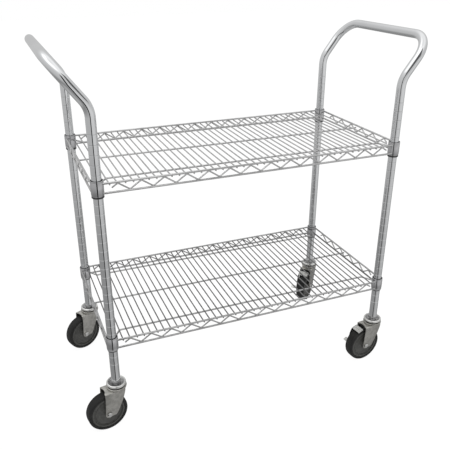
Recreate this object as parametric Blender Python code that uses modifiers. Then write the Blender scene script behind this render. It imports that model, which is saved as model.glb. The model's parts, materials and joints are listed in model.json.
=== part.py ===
"""Wire shelf cart with push handles.

Two bent steel tubes form the end frames: each is a pair of posts joined by a handle bar that
leans outwards. Two welded wire shelves hang on the posts by a tapered collar and a split plastic
sleeve at each corner. A stem caster stands in the foot of each post; the two casters at the +X
end have foot brakes.

Frame: X along the cart, Y across it, Z up, metres. The origin is on the floor, under the middle
of the bounding box of the cart at rest.
"""

import math

import bmesh
import bpy
from mathutils import Matrix, Vector

# ---- layout of the cart ----
POST_SPACING_X = 0.870
POST_SPACING_Y = 0.428
BOX_SHIFT_Y = 0.0029  # the casters reach further out on the -Y side than on the +Y side
SHELF_HEIGHTS = {"lower": 0.2937, "upper": 0.7510}  # height of a shelf's top rails

# ---- end frame: one bent tube ----
TUBE_RADIUS = 0.0127
TUBE_WALL = 0.0014
TUBE_SIDES = 12
POST_FOOT_Z = 0.1560
LEAN_START_Z = 0.9127
LEAN_ANGLE = math.radians(37.0)
LEAN_BEND_RADIUS = 0.070
LEAN_STRAIGHT = 0.047
HANDLE_CORNER_RADIUS = 0.070
LEAN_STEPS = 3
CORNER_STEPS = 5

# ---- corner collar and split sleeve, heights from the top rails ----
RING_SIDES = 12
COLLAR_PROFILE = (
    (0.0150, 0.0075),
    (0.0167, 0.0075),
    (0.0164, -0.0260),
    (0.0155, -0.0330),
    (0.0150, -0.0330),
)
COLLAR_RADIUS = 0.0167
SLEEVE_INNER_RADIUS = 0.0132
SLEEVE_OUTER_RADIUS = 0.0145
SLEEVE_TOP = 0.0060
SLEEVE_BOTTOM = -0.0375
SLEEVE_SLIT_HALF_ANGLE = math.radians(3.0)

# ---- welded wire shelf, heights from the top rails ----
RAIL_RADIUS = 0.0025
RAIL_DROP = 0.0250
RAIL_OFFSET_X = 0.4475
RAIL_OFFSET_Y = 0.2250
LONG_RAIL_HALF = 0.4200
SHORT_RAIL_HALF = 0.2000
ZIGZAG_RADIUS = 0.0018
ZIGZAG_PITCH = 0.0594
ZIGZAG_BEND_DEPTH = 0.0036
ZIGZAG_STUB = 0.0155
LONG_PEAKS = 14
SHORT_PEAKS = 6
CROSS_RADIUS = 0.0016
CROSS_PITCH = 0.0198
CROSS_DROP = 0.0044
FULL_CROSS_WIRES = 42
WIRES_PER_PEAK = 3  # every third cross wire meets a peak of the zigzag and stops short of it
FULL_WIRE_HALF = 0.2272
PEAK_WIRE_HALF = 0.2222
SHORT_WIRE_X = 0.4257
SHORT_WIRE_HALF = 0.1920
SUPPORT_RADIUS = 0.0022
SUPPORT_DROP = 0.0072
SUPPORT_Y = 0.1695
MIDDLE_SUPPORT_HALF = 0.4465
SUPPORT_END_ANGLE = math.radians(55.0)
TOUCH_GAP = 0.0003

# ---- swivel caster, heights from the floor ----
TRAIL = 0.0350
TYRE_RADIUS = 0.0597
TYRE_SIDES = 20
AXLE_Z = TYRE_RADIUS * math.cos(math.pi / TYRE_SIDES)
STEM_SIDES = 12
STEM_PROFILE = (
    (0.0, 0.2050),
    (0.0104, 0.2050),
    (0.0104, 0.1555),
    (0.0150, 0.1555),
    (0.0150, 0.1505),
    (0.0090, 0.1435),
    (0.0200, 0.1435),
    (0.0235, 0.1475),
    (0.0279, 0.1460),
    (0.0279, 0.1385),
    (0.0240, 0.1385),
    (0.0240, 0.1425),
    (0.0095, 0.1425),
    (0.0095, 0.1380),
    (0.0060, 0.1380),
    (0.0060, 0.1266),
    (0.0088, 0.1264),
    (0.0070, 0.1232),
    (0.0, 0.1232),
)
BALL_RACE_PROFILE = (
    (0.0105, 0.1421),
    (0.0230, 0.1421),
    (0.0230, 0.1379),
    (0.0105, 0.1379),
)
CROWN_TOP = 0.1300
CROWN_THICKNESS = 0.0030
CROWN_HALF_WIDTH = 0.0223
CROWN_EDGE = 0.0030
BOSS_RADIUS = 0.0284
BOSS_TOP = 0.1376
BOSS_BOTTOM = 0.1290
KINGPIN_HOLE = 0.0066
KINGPIN_HOLE_SPAN = (0.1200, 0.1400)
NOTCH_RADIUS = 0.0300
NOTCH_CENTRE = 0.0675
NOTCH_SPAN = (0.1262, 0.1330)
CUT_ACROSS = (-0.0300, 0.0300)  # wider than the fork, for cutters that run right through it
LEG_TRAILING = ((0.0420, 0.1310), (0.0440, 0.0905), (0.0465, AXLE_Z))
LEG_FOOT_RADIUS = 0.0115
LEG_FOOT_STEPS = 4
LEG_FOOT_STEP = math.radians(30.0)
LEG_LEADING = ((0.0150, 0.0510), (0.0085, 0.0590), (0.0010, 0.0740), (-0.0070, 0.0920),
               (-0.0145, 0.1120), (-0.0190, 0.1310))
LEG_LENGTH_SPAN = (-0.0300, 0.0600)
LEG_LOWEST = 0.0400
AXLE_HOLE = 0.0058
AXLE_RADIUS = 0.0050
BOLT_PROFILE = (
    (0.0, 0.0272),
    (0.0060, 0.0264),
    (0.0080, 0.0227),
    (AXLE_RADIUS, 0.0227),
    (AXLE_RADIUS, -0.0292),
    (0.0, -0.0292),
)
NUT_RADIUS = 0.0078
NUT_SIDES = 6
NUT_SPAN = (-0.0276, -0.0227)
NUT_BORE_SPAN = (-0.0300, -0.0200)
TYRE_PROFILE = (
    (0.0495, 0.0145),
    (0.0572, 0.0150),
    (TYRE_RADIUS, 0.0110),
    (TYRE_RADIUS, -0.0110),
    (0.0572, -0.0150),
    (0.0495, -0.0145),
)
CORE_PROFILE = (
    (AXLE_HOLE, 0.0186),
    (0.0130, 0.0186),
    (0.0180, 0.0110),
    (0.0492, 0.0135),
    (0.0492, -0.0135),
    (0.0180, -0.0110),
    (0.0130, -0.0186),
    (AXLE_HOLE, -0.0186),
)
CASTERS = {
    "front_left": {"corner": (-1, -1), "yaw": math.radians(189.5), "brake": False},
    "back_left": {"corner": (-1, 1), "yaw": math.radians(203.0), "brake": False},
    "front_right": {"corner": (1, -1), "yaw": math.radians(185.4), "brake": True},
    "back_right": {"corner": (1, 1), "yaw": math.radians(219.9), "brake": True},
}

# ---- foot brake, positions from its pivot pin ----
BRAKE_PIVOT = (0.0385, 0.1233)  # along the trail, height
BRAKE_PIN_SIDES = 8
BRAKE_PIN_RADIUS = 0.0018
BRAKE_PIN_HOLE = 0.0022
BRAKE_PIN_HALF = 0.0226
BARREL_SIDES = 10
BARREL_RADIUS = 0.0034
BARREL_HALF = 0.0150
WEB_OUTLINE = ((0.0, -0.0010), (0.0140, -0.0014), (0.0140, 0.0012), (0.0, 0.0014))
WEB_HALF = 0.0140
PAD_OUTLINE = ((0.0115, -0.0020), (0.0287, -0.0100), (0.0300, -0.0070), (0.0128, 0.0016))
PAD_HALF = 0.0170
ARM_OUTLINE = ((0.0170, -0.0030), (0.0285, -0.0085), (0.0405, -0.0580), (0.0405, -0.0650),
               (0.0285, -0.0650), (0.0285, -0.0590))
ARM_SPAN = (-0.0190, -0.0168)
TAB_OUTLINE = ((0.0290, -0.0600), (0.0400, -0.0660), (0.0411, -0.0640), (0.0301, -0.0580))
TAB_SPAN = (-0.0420, -0.0172)

EMPTY_SIZE = 0.0500
WELD_DISTANCE = 0.00002
SHARP_ANGLE = math.radians(35.0)
OUTLINE_IN_XZ = Matrix.Rotation(math.radians(90.0), 4, "X")
OUTLINE_IN_YZ = Matrix.Rotation(math.radians(90.0), 4, "Z") @ OUTLINE_IN_XZ
AXLE_TURN = Matrix.Rotation(math.radians(90.0), 4, "X")


# ---- scene, collections and materials ----

def clear_scene():
    for obj in list(bpy.data.objects):
        bpy.data.objects.remove(obj, do_unlink=True)


def new_collection(name):
    collection = bpy.data.collections.new(name)
    bpy.context.scene.collection.children.link(collection)
    return collection


def new_material(name, colour, metallic, roughness):
    material = bpy.data.materials.new(name)
    material.use_nodes = True
    shader = material.node_tree.nodes["Principled BSDF"]
    shader.inputs["Base Color"].default_value = (*colour, 1.0)
    shader.inputs["Metallic"].default_value = metallic
    shader.inputs["Roughness"].default_value = roughness
    return material


def bright_tube_steel():
    return new_material("bright_tube_steel", (0.78, 0.79, 0.80), 1.0, 0.12)


def wire_steel():
    return new_material("wire_steel", (0.66, 0.67, 0.68), 1.0, 0.25)


def collar_steel():
    return new_material("collar_steel", (0.70, 0.71, 0.72), 1.0, 0.22)


def sleeve_plastic():
    return new_material("sleeve_plastic", (0.02, 0.02, 0.02), 0.0, 0.45)


def plated_steel():
    return new_material("plated_steel", (0.62, 0.62, 0.62), 1.0, 0.30)


def fastener_steel():
    return new_material("fastener_steel", (0.70, 0.70, 0.70), 1.0, 0.22)


def wheel_plastic():
    return new_material("wheel_plastic", (0.10, 0.10, 0.11), 0.0, 0.45)


def tyre_rubber():
    return new_material("tyre_rubber", (0.035, 0.035, 0.037), 0.0, 0.60)


# ---- modelling helpers ----

def linked_object(name, data, collection):
    obj = bpy.data.objects.new(name, data)
    collection.objects.link(obj)
    return obj


def shade_round(mesh):
    mesh.shade_smooth()
    mesh.set_sharp_from_angle(angle=SHARP_ANGLE)


def as_mesh(source, name, collection):
    """Replace a curve or a modified object by a plain mesh object of what it evaluates to."""
    bpy.context.view_layer.update()
    evaluated = source.evaluated_get(bpy.context.evaluated_depsgraph_get())
    mesh = bpy.data.meshes.new_from_object(evaluated)
    matrix = source.matrix_world.copy()
    bpy.data.objects.remove(source, do_unlink=True)
    mesh.transform(matrix)
    bm = bmesh.new()
    bm.from_mesh(mesh)
    bmesh.ops.remove_doubles(bm, verts=bm.verts, dist=WELD_DISTANCE)
    bmesh.ops.recalc_face_normals(bm, faces=bm.faces)
    bm.to_mesh(mesh)
    bm.free()
    shade_round(mesh)
    return linked_object(name, mesh, collection)


def poly_curve(name, paths, collection):
    curve = bpy.data.curves.new(name, "CURVE")
    curve.dimensions = "3D"
    curve.render_resolution_u = 0
    for path in paths:
        spline = curve.splines.new("POLY")
        spline.points.add(len(path) - 1)
        for point, position in zip(spline.points, path):
            point.co = (*position, 1.0)
    return linked_object(name, curve, collection)


def rods(name, paths, radius, collection):
    """Solid rods along open paths, four-sided in section to keep the welded grids light."""
    obj = poly_curve(name, paths, collection)
    obj.data.bevel_depth = radius
    obj.data.bevel_resolution = 0
    obj.data.use_fill_caps = True
    return as_mesh(obj, name, collection)


def turned(name, profile, steps, collection, transform=Matrix.Identity(4), ring=False):
    """A solid of revolution about local Z from (radius, height) points, top to bottom."""
    mesh = bpy.data.meshes.new(name)
    count = len(profile)
    edges = [(i, i + 1) for i in range(count - 1)]
    if ring:
        edges.append((count - 1, 0))
    mesh.from_pydata([(radius, 0.0, height) for radius, height in profile], edges, [])
    obj = linked_object(name, mesh, collection)
    screw = obj.modifiers.new("turn", "SCREW")
    screw.axis = "Z"
    screw.angle = 2.0 * math.pi
    screw.steps = steps
    screw.render_steps = steps
    screw.use_merge_vertices = True
    screw.merge_threshold = WELD_DISTANCE
    obj.matrix_world = transform
    return as_mesh(obj, name, collection)


def prism(name, outline, span, transform, collection):
    """A flat outline given a thickness: local X and Y hold the outline, span is along local Z."""
    curve = bpy.data.curves.new(name, "CURVE")
    curve.dimensions = "2D"
    curve.fill_mode = "BOTH"
    curve.extrude = (span[1] - span[0]) / 2.0
    curve.render_resolution_u = 0
    spline = curve.splines.new("POLY")
    spline.points.add(len(outline) - 1)
    spline.use_cyclic_u = True
    for point, (x, y) in zip(spline.points, outline):
        point.co = (x, y, 0.0, 1.0)
    obj = linked_object(name, curve, collection)
    obj.matrix_world = transform @ Matrix.Translation((0.0, 0.0, (span[0] + span[1]) / 2.0))
    return as_mesh(obj, name, collection)


def cylinder(name, radius, span, sides, transform, collection):
    mesh = bpy.data.meshes.new(name)
    bm = bmesh.new()
    middle = Matrix.Translation((0.0, 0.0, (span[0] + span[1]) / 2.0))
    bmesh.ops.create_cone(bm, cap_ends=True, segments=sides, radius1=radius, radius2=radius,
                          depth=span[1] - span[0], matrix=transform @ middle)
    bm.to_mesh(mesh)
    bm.free()
    shade_round(mesh)
    return linked_object(name, mesh, collection)


def hide_cutter(obj):
    obj.hide_render = True
    obj.display_type = "WIRE"


def combine(target, tool, operation):
    modifier = target.modifiers.new(operation.lower(), "BOOLEAN")
    modifier.operation = operation
    modifier.solver = "EXACT"
    modifier.object = tool
    hide_cutter(tool)


def joined(name, objects, collection):
    """One mesh object that holds several bodies that don't touch, for use as a cutter."""
    bm = bmesh.new()
    for obj in objects:
        bm.from_mesh(obj.data)
        bpy.data.objects.remove(obj, do_unlink=True)
    mesh = bpy.data.meshes.new(name)
    bm.to_mesh(mesh)
    bm.free()
    return linked_object(name, mesh, collection)


def finish_piece(obj, material, parent):
    obj.data.materials.clear()
    obj.data.materials.append(material)
    obj.parent = parent
    return obj


def empty(name, collection, parent=None, location=(0.0, 0.0, 0.0), yaw=0.0):
    obj = linked_object(name, None, collection)
    obj.empty_display_size = EMPTY_SIZE
    obj.parent = parent
    obj.location = location
    obj.rotation_euler = (0.0, 0.0, yaw)
    return obj


# ---- end frames ----

def lean_point(along, height):
    """A point of the handle's plane, from the distance out of the post's line and the height."""
    return Vector((along, 0.0, height))


def handle_half():
    """One post from its foot up to the middle of the handle corner, at y = 0 for the post."""
    points = [lean_point(0.0, POST_FOOT_Z)]
    for step in range(LEAN_STEPS + 1):
        angle = LEAN_ANGLE * step / LEAN_STEPS
        points.append(lean_point(LEAN_BEND_RADIUS * (1.0 - math.cos(angle)),
                                 LEAN_START_Z + LEAN_BEND_RADIUS * math.sin(angle)))
    slope = lean_point(math.sin(LEAN_ANGLE), math.cos(LEAN_ANGLE))
    corner = points[-1] + slope * LEAN_STRAIGHT
    for step in range(CORNER_STEPS + 1):
        angle = math.pi / 2.0 * step / CORNER_STEPS
        inward = Vector((0.0, HANDLE_CORNER_RADIUS * (1.0 - math.cos(angle)), 0.0))
        points.append(corner + slope * HANDLE_CORNER_RADIUS * math.sin(angle) + inward)
    return points


def handle_path(side):
    front = [Vector((side * (POST_SPACING_X / 2.0 + p.x), p.y - POST_SPACING_Y / 2.0, p.z))
             for p in handle_half()]
    back = [Vector((p.x, -p.y, p.z)) for p in reversed(front)]
    return front + back


def end_frame(name, side, material, collection, parent):
    """The bent tube: an open skin along the path, thickened inwards so that its feet are open."""
    obj = poly_curve(name, [handle_path(side)], collection)
    obj.data.bevel_depth = TUBE_RADIUS
    obj.data.bevel_resolution = (TUBE_SIDES - 4) // 2
    obj = as_mesh(obj, name, collection)
    wall = obj.modifiers.new("wall", "SOLIDIFY")
    wall.thickness = TUBE_WALL
    wall.offset = -1.0
    wall.use_even_offset = True
    return finish_piece(obj, material, parent)


# ---- shelves ----

def zigzag_path(peaks, along):
    """The truss wire: up to the top rail at each peak, down to the lower rail between peaks."""
    first = -ZIGZAG_PITCH * (peaks - 1) / 2.0
    top = -ZIGZAG_BEND_DEPTH
    bottom = -RAIL_DROP + ZIGZAG_BEND_DEPTH
    slope = (top - bottom) / (ZIGZAG_PITCH / 2.0)
    points = [(first - ZIGZAG_STUB, top - slope * ZIGZAG_STUB)]
    for bend in range(2 * peaks - 1):
        position = first + bend * ZIGZAG_PITCH / 2.0
        height = bottom if bend % 2 else top
        points.append((position, height))
    points.append((-first + ZIGZAG_STUB, top - slope * ZIGZAG_STUB))
    return [along(position, height) for position, height in points]


def truss(name, peaks, half_length, along, height, material, collections, parent):
    parts, cutters = collections
    levels = (height, height - RAIL_DROP)
    paths = [[along(-half_length, level), along(half_length, level)] for level in levels]
    rails = rods(name, paths, RAIL_RADIUS, parts)
    wire_path = zigzag_path(peaks, lambda position, drop: along(position, height + drop))
    wire = rods(name + "_zigzag", [wire_path], ZIGZAG_RADIUS, cutters)
    finish_piece(wire, material, parent)
    combine(rails, wire, "UNION")
    return finish_piece(rails, material, parent)


def cross_wire_paths(height):
    level = height - CROSS_DROP
    paths = []
    for number in range(FULL_CROSS_WIRES):
        x = (number - (FULL_CROSS_WIRES - 1) / 2.0) * CROSS_PITCH
        at_peak = number % WIRES_PER_PEAK == 1
        half = PEAK_WIRE_HALF if at_peak else FULL_WIRE_HALF
        paths.append([(x, -half, level), (x, half, level)])
    for x in (-SHORT_WIRE_X, SHORT_WIRE_X):
        paths.append([(x, -SHORT_WIRE_HALF, level), (x, SHORT_WIRE_HALF, level)])
    return paths


def support_paths(height):
    """Three long wires under the cross wires; the outer two bend towards the corner collars."""
    level = height - SUPPORT_DROP
    paths = [[(-MIDDLE_SUPPORT_HALF, 0.0, level), (MIDDLE_SUPPORT_HALF, 0.0, level)]]
    reach = COLLAR_RADIUS + TOUCH_GAP
    end_x = POST_SPACING_X / 2.0 - reach * math.cos(SUPPORT_END_ANGLE)
    end_y = POST_SPACING_Y / 2.0 - reach * math.sin(SUPPORT_END_ANGLE)
    bend_x = end_x - (end_y - SUPPORT_Y) / math.tan(SUPPORT_END_ANGLE)
    for side in (-1, 1):
        paths.append([
            (-end_x, side * end_y, level),
            (-bend_x, side * SUPPORT_Y, level),
            (bend_x, side * SUPPORT_Y, level),
            (end_x, side * end_y, level),
        ])
    return paths


def deck(name, height, material, collections, parent):
    parts, cutters = collections
    wires = rods(name, cross_wire_paths(height), CROSS_RADIUS, parts)
    supports = rods(name + "_supports", support_paths(height), SUPPORT_RADIUS, cutters)
    finish_piece(supports, material, parent)
    combine(wires, supports, "UNION")
    return finish_piece(wires, material, parent)


def corner_position(corner, height=0.0):
    return Vector((corner[0] * POST_SPACING_X / 2.0, corner[1] * POST_SPACING_Y / 2.0, height))


def collar(name, corner, height, material, collection, parent):
    place = Matrix.Translation(corner_position(corner, height))
    obj = turned(name, COLLAR_PROFILE, RING_SIDES, collection, place, ring=True)
    return finish_piece(obj, material, parent)


def flat_sided_radius(radius, angle):
    """Distance to the flats of a many-sided ring whose corners lie on the radius."""
    half_side = math.pi / RING_SIDES
    return radius * math.cos(half_side) / math.cos(angle % (2.0 * half_side) - half_side)


def sleeve_outline():
    """A ring that is open at one slit, in the middle of its first flat."""
    step = 2.0 * math.pi / RING_SIDES
    start = step / 2.0 + SLEEVE_SLIT_HALF_ANGLE
    end = 2.0 * math.pi + step / 2.0 - SLEEVE_SLIT_HALF_ANGLE
    angles = [start] + [step * number for number in range(1, RING_SIDES + 1)] + [end]
    outer = [(flat_sided_radius(SLEEVE_OUTER_RADIUS, angle), angle) for angle in angles]
    inner = [(flat_sided_radius(SLEEVE_INNER_RADIUS, angle), angle) for angle in reversed(angles)]
    return [(radius * math.cos(angle), radius * math.sin(angle)) for radius, angle in outer + inner]


def sleeve(name, corner, height, material, collection, parent):
    place = Matrix.Translation(corner_position(corner, height))
    obj = prism(name, sleeve_outline(), (SLEEVE_BOTTOM, SLEEVE_TOP), place, collection)
    return finish_piece(obj, material, parent)


def shelf(level, materials, collections, parent):
    height = SHELF_HEIGHTS[level]
    wire = materials["wire"]
    deck(level + "_shelf_deck", height, wire, collections, parent)
    for side, name in ((-1, "front"), (1, "back")):
        truss(f"{level}_shelf_{name}_truss", LONG_PEAKS, LONG_RAIL_HALF,
              lambda position, z, side=side: (position, side * RAIL_OFFSET_Y, z),
              height, wire, collections, parent)
    for side, name in ((-1, "left"), (1, "right")):
        truss(f"{level}_shelf_{name}_truss", SHORT_PEAKS, SHORT_RAIL_HALF,
              lambda position, z, side=side: (side * RAIL_OFFSET_X, position, z),
              height, wire, collections, parent)
    for name, caster in CASTERS.items():
        collar(f"{level}_collar_{name}", caster["corner"], height, materials["collar"],
               collections[0], parent)
        sleeve(f"{level}_sleeve_{name}", caster["corner"], height, materials["sleeve"],
               collections[0], parent)


# ---- casters; X is along the trail, from the swivel axis to the axle ----

def leg_outline():
    """Side view of the fork: trailing edge, round foot below the axle, curved leading edge."""
    points = list(LEG_TRAILING)
    for step in range(1, LEG_FOOT_STEPS + 1):
        angle = -LEG_FOOT_STEP * step
        points.append((TRAIL + LEG_FOOT_RADIUS * math.cos(angle),
                       AXLE_Z + LEG_FOOT_RADIUS * math.sin(angle)))
    return points + list(LEG_LEADING)


def channel_outline():
    """End view of the fork: a crown plate with a leg folded down on each side."""
    outer = CROWN_HALF_WIDTH
    inner = outer - CROWN_THICKNESS
    under = CROWN_TOP - CROWN_THICKNESS
    half = [(outer, LEG_LOWEST), (outer, CROWN_TOP - CROWN_EDGE), (outer - CROWN_EDGE, CROWN_TOP)]
    inside = [(-inner, LEG_LOWEST), (-inner, under), (inner, under), (inner, LEG_LOWEST)]
    return half + [(-y, z) for y, z in reversed(half)] + inside


def fork_holes(name, braked, collection):
    tools = [
        cylinder("kingpin_hole", KINGPIN_HOLE, KINGPIN_HOLE_SPAN, RING_SIDES,
                 Matrix.Identity(4), collection),
        cylinder("crown_notch", NOTCH_RADIUS, NOTCH_SPAN, 2 * RING_SIDES,
                 Matrix.Translation((NOTCH_CENTRE, 0.0, 0.0)), collection),
        cylinder("axle_hole", AXLE_HOLE, CUT_ACROSS, RING_SIDES,
                 Matrix.Translation((TRAIL, 0.0, AXLE_Z)) @ AXLE_TURN, collection),
    ]
    if braked:
        pivot = Matrix.Translation((BRAKE_PIVOT[0], 0.0, BRAKE_PIVOT[1]))
        tools.append(cylinder("brake_pin_hole", BRAKE_PIN_HOLE, CUT_ACROSS, BRAKE_PIN_SIDES,
                              pivot @ AXLE_TURN, collection))
    return joined(name, tools, collection)


def fork(name, braked, material, collections, parent):
    parts, cutters = collections
    body = prism(name, channel_outline(), LEG_LENGTH_SPAN, OUTLINE_IN_YZ, parts)
    side_view = prism(name + "_side_view", leg_outline(), CUT_ACROSS, OUTLINE_IN_XZ, cutters)
    boss = cylinder(name + "_boss", BOSS_RADIUS, (BOSS_BOTTOM, BOSS_TOP), STEM_SIDES,
                    Matrix.Identity(4), cutters)
    holes = fork_holes(name + "_holes", braked, cutters)
    for tool, operation in ((side_view, "INTERSECT"), (boss, "UNION"), (holes, "DIFFERENCE")):
        finish_piece(tool, material, parent)
        combine(body, tool, operation)
    return finish_piece(body, material, parent)


def wheel_part(name, profile, steps, material, collection, parent):
    """A ring turned about the axle, with a flat under the axle; its origin is on the axle."""
    half_side = Matrix.Rotation(math.pi / steps, 4, "Z")
    obj = turned(name, profile, steps, collection, AXLE_TURN @ half_side, ring=True)
    finish_piece(obj, material, parent)
    obj.location = (TRAIL, 0.0, AXLE_Z)
    return obj


def axle_bolt(name, material, collection, parent):
    turn = Matrix.Rotation(math.radians(-90.0), 4, "X")
    obj = turned(name, BOLT_PROFILE, RING_SIDES, collection, turn)
    finish_piece(obj, material, parent)
    obj.location = (TRAIL, 0.0, AXLE_Z)
    return obj


def axle_nut(name, material, collections, parent):
    parts, cutters = collections
    turn = Matrix.Rotation(math.radians(-90.0), 4, "X")
    obj = cylinder(name, NUT_RADIUS, NUT_SPAN, NUT_SIDES, turn, parts)
    bore = cylinder(name + "_bore", AXLE_HOLE, NUT_BORE_SPAN, RING_SIDES, turn, cutters)
    for piece in (obj, bore):
        finish_piece(piece, material, parent)
        piece.location = (TRAIL, 0.0, AXLE_Z)
    combine(obj, bore, "DIFFERENCE")
    return obj


def brake_pedal(name, material, collections, parent):
    """The pedal turns on its pin under the crown; pressed down, its pad comes near the tyre."""
    parts, cutters = collections
    pedal = cylinder(name, BARREL_RADIUS, (-BARREL_HALF, BARREL_HALF), BARREL_SIDES, AXLE_TURN,
                     parts)
    pieces = (
        ("web", WEB_OUTLINE, (-WEB_HALF, WEB_HALF)),
        ("pad", PAD_OUTLINE, (-PAD_HALF, PAD_HALF)),
        ("arm", ARM_OUTLINE, ARM_SPAN),
        ("tab", TAB_OUTLINE, TAB_SPAN),
    )
    tools = []
    for label, outline, (low, high) in pieces:
        tool = prism(f"{name}_{label}", outline, (-high, -low), OUTLINE_IN_XZ, cutters)
        tools.append((tool, "UNION"))
    bore = cylinder(name + "_bore", BRAKE_PIN_HOLE, CUT_ACROSS, BRAKE_PIN_SIDES, AXLE_TURN,
                    cutters)
    tools.append((bore, "DIFFERENCE"))
    finish_piece(pedal, material, parent)
    pedal.location = (BRAKE_PIVOT[0], 0.0, BRAKE_PIVOT[1])
    for tool, operation in tools:
        finish_piece(tool, material, parent)
        tool.location = pedal.location
        combine(pedal, tool, operation)
    return pedal


def brake_pin(name, material, collection, parent):
    place = Matrix.Translation((BRAKE_PIVOT[0], 0.0, BRAKE_PIVOT[1]))
    obj = cylinder(name, BRAKE_PIN_RADIUS, (-BRAKE_PIN_HALF, BRAKE_PIN_HALF), BRAKE_PIN_SIDES,
                   place @ AXLE_TURN, collection)
    return finish_piece(obj, material, parent)


def caster(name, settings, materials, collections, parent):
    parts = collections[0]
    location = corner_position(settings["corner"])
    swivel = empty(f"{name}_swivel_axis", parts, parent, location, settings["yaw"])
    stem = turned(f"{name}_caster_stem", STEM_PROFILE, STEM_SIDES, parts)
    finish_piece(stem, materials["plated"], swivel)
    balls = turned(f"{name}_ball_race", BALL_RACE_PROFILE, STEM_SIDES, parts, ring=True)
    finish_piece(balls, materials["fastener"], swivel)
    fork(f"{name}_fork", settings["brake"], materials["plated"], collections, swivel)
    wheel_part(f"{name}_wheel_core", CORE_PROFILE, TYRE_SIDES, materials["wheel"], parts, swivel)
    wheel_part(f"{name}_tyre", TYRE_PROFILE, TYRE_SIDES, materials["tyre"], parts, swivel)
    axle_bolt(f"{name}_axle_bolt", materials["fastener"], parts, swivel)
    axle_nut(f"{name}_axle_nut", materials["fastener"], collections, swivel)
    if settings["brake"]:
        brake_pedal(f"{name}_brake_pedal", materials["plated"], collections, swivel)
        brake_pin(f"{name}_brake_pin", materials["fastener"], parts, swivel)


def build():
    clear_scene()
    collections = (new_collection("wire_shelf_cart"), new_collection("cutters"))
    materials = {
        "tube": bright_tube_steel(),
        "wire": wire_steel(),
        "collar": collar_steel(),
        "sleeve": sleeve_plastic(),
        "plated": plated_steel(),
        "fastener": fastener_steel(),
        "wheel": wheel_plastic(),
        "tyre": tyre_rubber(),
    }
    cart = empty("cart", collections[0], location=(0.0, BOX_SHIFT_Y, 0.0))
    for side, name in ((-1, "left"), (1, "right")):
        end_frame(f"{name}_handle_frame", side, materials["tube"], collections[0], cart)
    for level in SHELF_HEIGHTS:
        shelf(level, materials, collections, cart)
    for name, settings in CASTERS.items():
        caster(name, settings, materials, collections, cart)
    bpy.context.view_layer.update()


build()
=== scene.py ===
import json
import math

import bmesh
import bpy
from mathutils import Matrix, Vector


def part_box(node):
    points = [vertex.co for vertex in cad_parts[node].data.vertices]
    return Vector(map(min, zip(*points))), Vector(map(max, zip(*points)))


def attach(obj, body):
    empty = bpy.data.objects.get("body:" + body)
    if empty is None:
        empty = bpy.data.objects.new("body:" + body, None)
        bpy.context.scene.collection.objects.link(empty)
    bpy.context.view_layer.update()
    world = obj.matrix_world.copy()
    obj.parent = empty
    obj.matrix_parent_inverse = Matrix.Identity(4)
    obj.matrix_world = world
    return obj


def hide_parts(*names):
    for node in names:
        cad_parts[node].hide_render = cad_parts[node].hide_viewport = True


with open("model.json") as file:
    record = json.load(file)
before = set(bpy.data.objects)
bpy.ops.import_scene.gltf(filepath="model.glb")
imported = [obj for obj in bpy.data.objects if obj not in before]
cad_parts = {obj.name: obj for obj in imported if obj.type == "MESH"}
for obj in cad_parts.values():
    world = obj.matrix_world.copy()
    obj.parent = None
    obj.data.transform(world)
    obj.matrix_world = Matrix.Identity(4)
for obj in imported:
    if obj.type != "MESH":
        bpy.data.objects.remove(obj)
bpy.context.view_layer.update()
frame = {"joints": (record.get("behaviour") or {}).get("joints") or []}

# Looks of the wire shelf cart, modelled around its CAD frame.
#
# Every shown piece is made here, in the frame's metres, and rides on the CAD body of the node that
# it stands for. Each caster is modelled in its own frame: X runs along the trail, from the swivel
# axis to the wheel axle, and Z is the swivel axis, with the floor at zero.

CORNERS = ("front_left", "back_left", "front_right", "back_right")
BRAKED = ("front_right", "back_right")
LEVELS = ("lower", "upper")

# ---- end frames ----
TUBE_RADIUS = 0.0127
TUBE_WALL = 0.0014
TUBE_BEVEL_RESOLUTION = 18
LEAN_START_Z = 0.9127
LEAN_ANGLE = math.radians(37.0)
LEAN_BEND_RADIUS = 0.070
LEAN_STRAIGHT = 0.047
HANDLE_CORNER_RADIUS = 0.070
BEND_STEPS = 14
GROOVE_PITCH = 0.0254
GROOVE_PHASE = 0.0100
GROOVE_FIRST_Z = 0.2050
GROOVE_LAST_Z = 0.8900
GROOVE_SHAPE = (  # distance from the middle, size of the tube
    (-0.0016, 1.0),
    (-0.0009, 1.0),
    (-0.0004, 0.982),
    (0.0004, 0.982),
    (0.0009, 1.0),
    (0.0016, 1.0),
)

# ---- shelves ----
RAIL_RADIUS = 0.0025
WELD_SWELL = 0.0003
RAIL_DROP = 0.0250
RAIL_INTO_COLLAR = 0.0035
ZIGZAG_RADIUS = 0.0018
ZIGZAG_PITCH = 0.0594
ZIGZAG_BEND_DEPTH = 0.0036
ZIGZAG_BEND_RADIUS = 0.0055
ZIGZAG_BEND_STEPS = 6
ZIGZAG_STUB = 0.0155
LONG_PEAKS = 14
SHORT_PEAKS = 6
CROSS_RADIUS = 0.0016
CROSS_PITCH = 0.0198
CROSS_DROP = 0.0044
FULL_CROSS_WIRES = 42
WIRES_PER_PEAK = 3
FULL_WIRE_HALF = 0.2272
PEAK_WIRE_HALF = 0.2222
SHORT_WIRE_X = 0.4257
SHORT_WIRE_HALF = 0.1920
SUPPORT_RADIUS = 0.0022
SUPPORT_DROP = 0.0072
SUPPORT_Y = 0.1695
SUPPORT_END_ANGLE = math.radians(55.0)
MIDDLE_SUPPORT_HALF = 0.4465
WIRE_BEVEL_RESOLUTION = 4
RAIL_BEVEL_RESOLUTION = 6
WIRE_END_SHAPE = ((0.0, 0.55), (0.45, 0.90), (1.0, 1.0))  # in wire radii: distance in, size

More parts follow.
